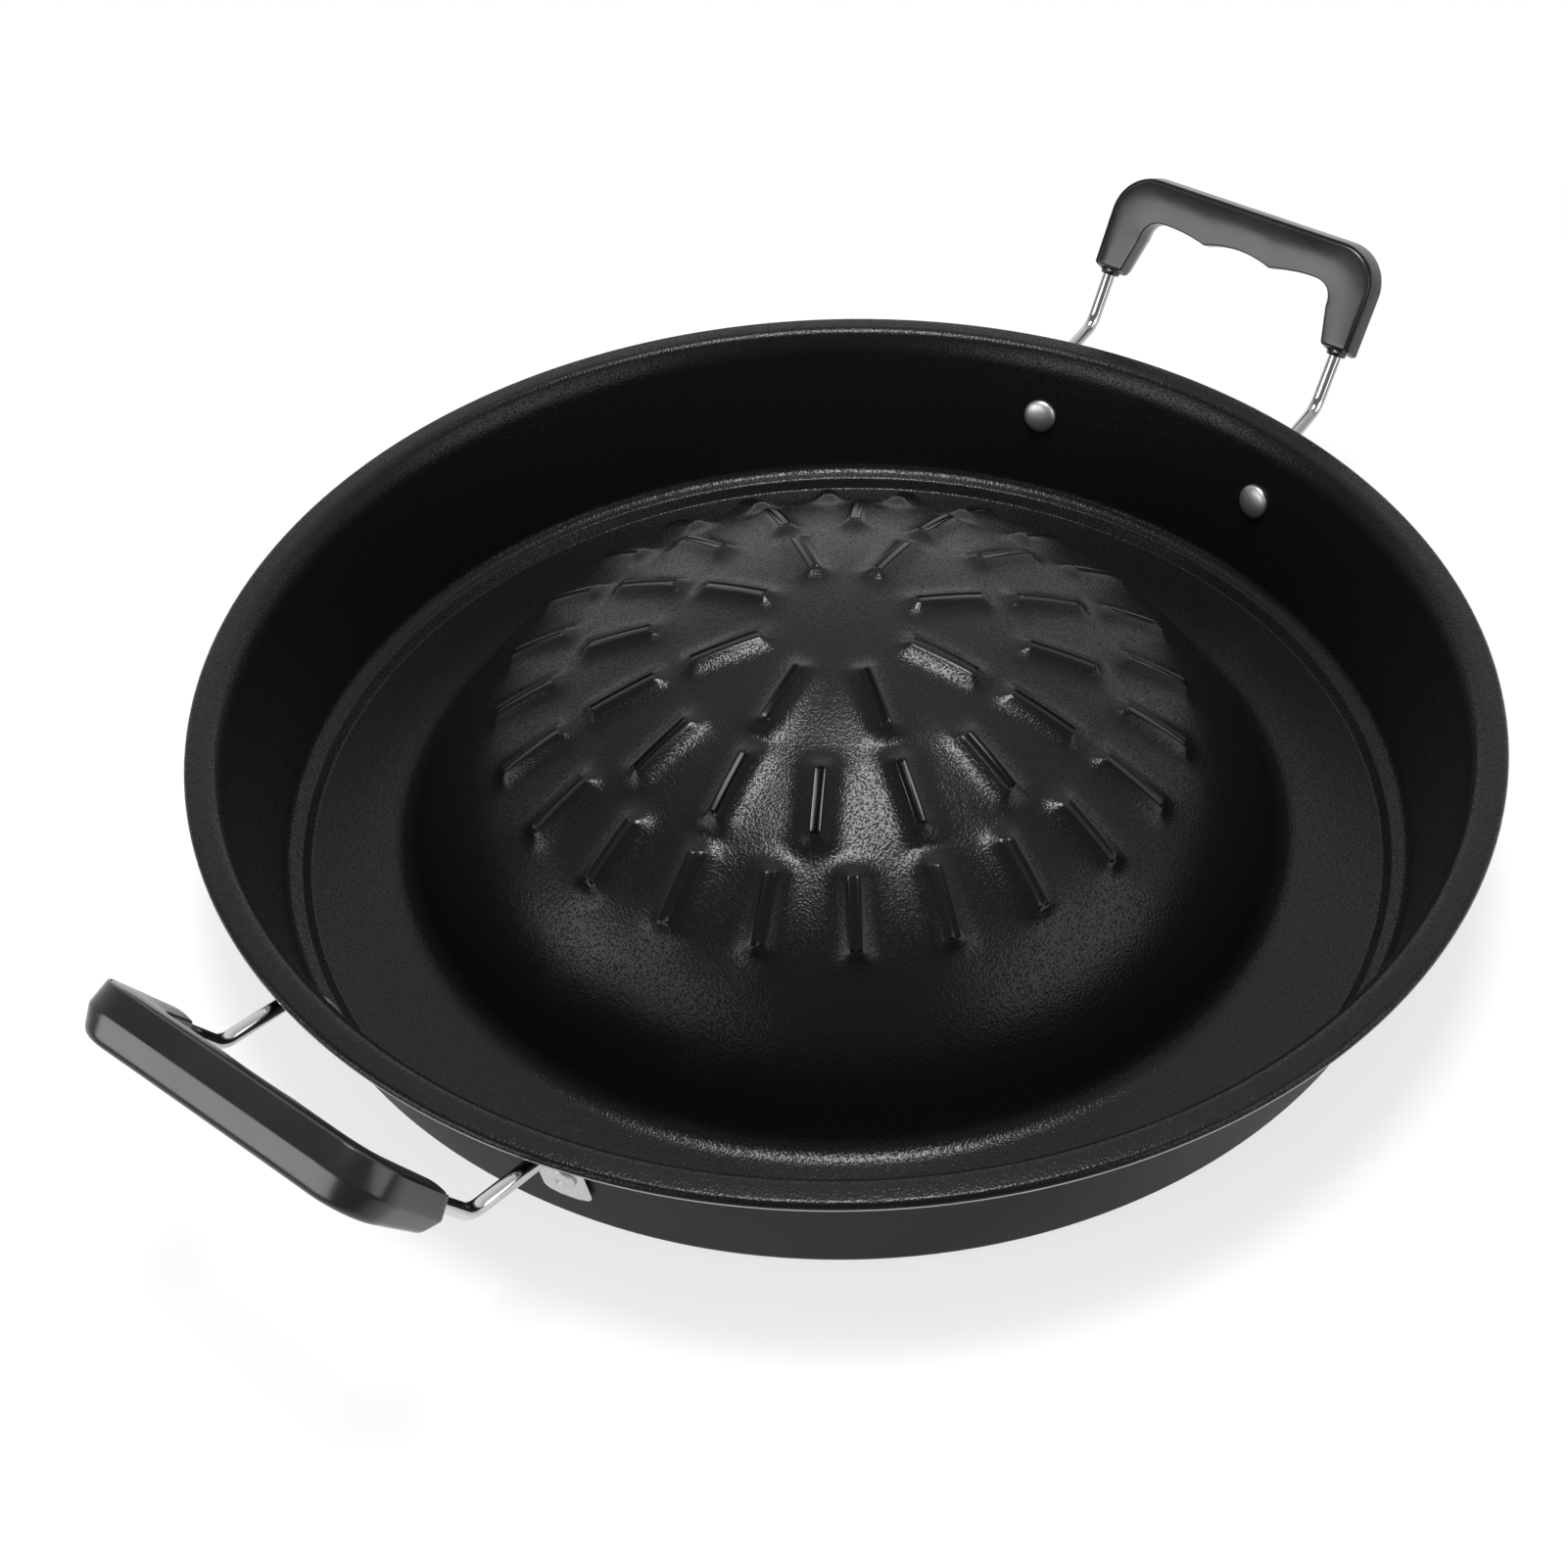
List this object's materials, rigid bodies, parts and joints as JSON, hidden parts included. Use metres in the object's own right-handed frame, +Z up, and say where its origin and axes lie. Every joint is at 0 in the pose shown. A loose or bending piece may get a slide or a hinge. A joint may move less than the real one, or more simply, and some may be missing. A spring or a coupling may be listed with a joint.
{
  "type": "hot pot grill pan",
  "caption": "round coated steel pan with a ribbed grilling dome in a soup moat and a riveted wire handle with a moulded grip on each side",
  "frame": {"origin": "on the pan's axis, in the plane of the moat's underside that it stands on", "axes": "+X towards the right handle, along the line through both handles; +Z up out of the pan; +Y completes the right-handed frame"},
  "size_m": [0.4398, 0.3498, 0.091],
  "materials": {
    "coating": "black non-stick coat with a fine glitter, satin",
    "chrome": "bright plated rod",
    "rivet_steel": "satin",
    "phenolic": "black moulding, satin gloss"
  },
  "bodies": {
    "root": {"pan_body": "coating", "handle_wire_right": "chrome", "handle_grip_right": "phenolic", "rivet_right_front": "rivet_steel", "rivet_right_rear": "rivet_steel", "handle_wire_left": "chrome", "handle_grip_left": "phenolic", "rivet_left_front": "rivet_steel", "rivet_left_rear": "rivet_steel"}
  },
  "joints": []
}
